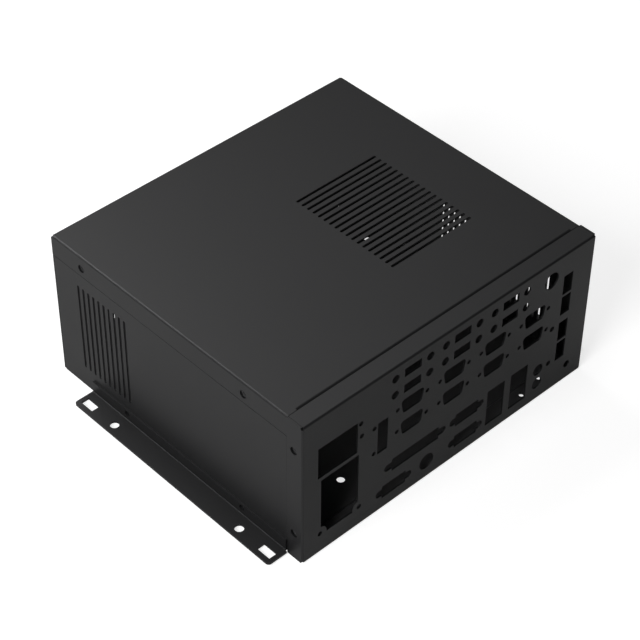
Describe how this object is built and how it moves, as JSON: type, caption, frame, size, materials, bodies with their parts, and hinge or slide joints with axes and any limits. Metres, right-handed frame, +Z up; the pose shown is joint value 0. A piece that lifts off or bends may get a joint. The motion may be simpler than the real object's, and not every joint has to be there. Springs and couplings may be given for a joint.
{
  "type": "metal electrical enclosure",
  "caption": "Low rectangular case of folded black sheet steel with slotted walls, a connector panel full of empty cut-outs, and a drilled mounting ear along each side.",
  "frame": {"origin": "centre of the whole part's box at the underside", "axes": "+Z up, +X along the connector panel to the right as seen from outside, +Y from the connector panel back into the case"},
  "size_m": [0.2828, 0.23, 0.1146],
  "materials": {
    "powder_coat": "black powder coat, satin with a fine grain"
  },
  "bodies": {
    "root": {"base_tray": "powder_coat", "top_cover": "powder_coat", "io_panel": "powder_coat", "mounting_ear_left": "powder_coat", "mounting_ear_right": "powder_coat", "port_bracket": "powder_coat"}
  },
  "joints": []
}
